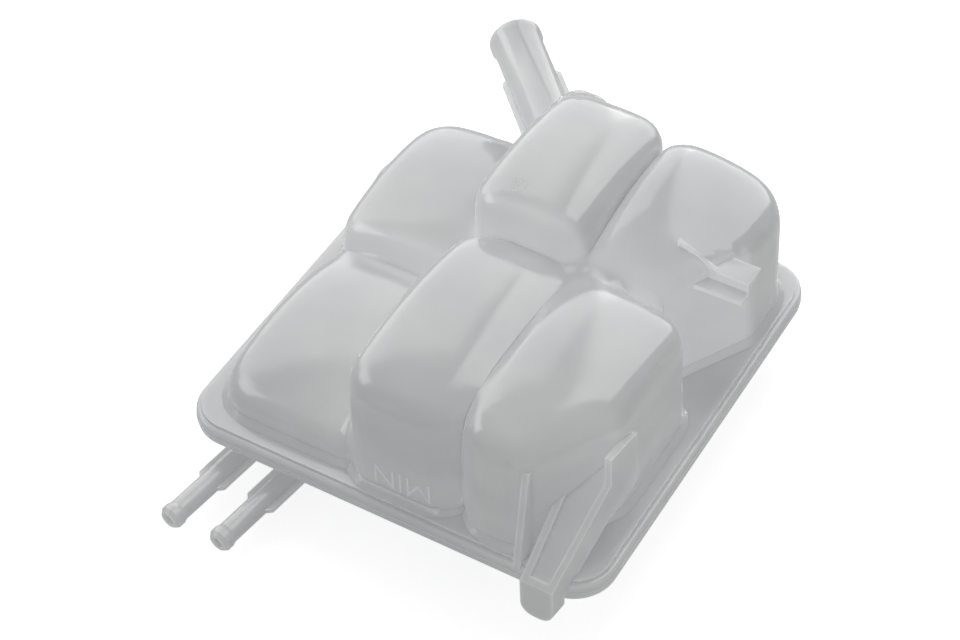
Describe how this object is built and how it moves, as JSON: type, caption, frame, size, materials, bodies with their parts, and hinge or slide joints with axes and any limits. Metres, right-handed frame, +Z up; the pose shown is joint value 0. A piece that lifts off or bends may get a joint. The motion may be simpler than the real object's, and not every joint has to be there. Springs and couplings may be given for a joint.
{
  "type": "coolant expansion tank",
  "caption": "Translucent moulded coolant expansion tank of pillow-shaped cells around a weld flange, with a filler neck, hose tails, a mounting tongue and a side lug.",
  "frame": {"origin": "middle of the filler neck's rim, which the tank lies on", "axes": "+Z up, out of the tank's bottom half as it lies upside down; +X along the front edge of the flange to the right; +Y to the back. The filler neck opens along -Z"},
  "size_m": [0.19, 0.2614, 0.109],
  "materials": {
    "shell_plastic": "translucent milky moulded polypropylene with a satin skin"
  },
  "bodies": {
    "root": {"lower_shell": "shell_plastic", "upper_shell": "shell_plastic"}
  },
  "joints": []
}
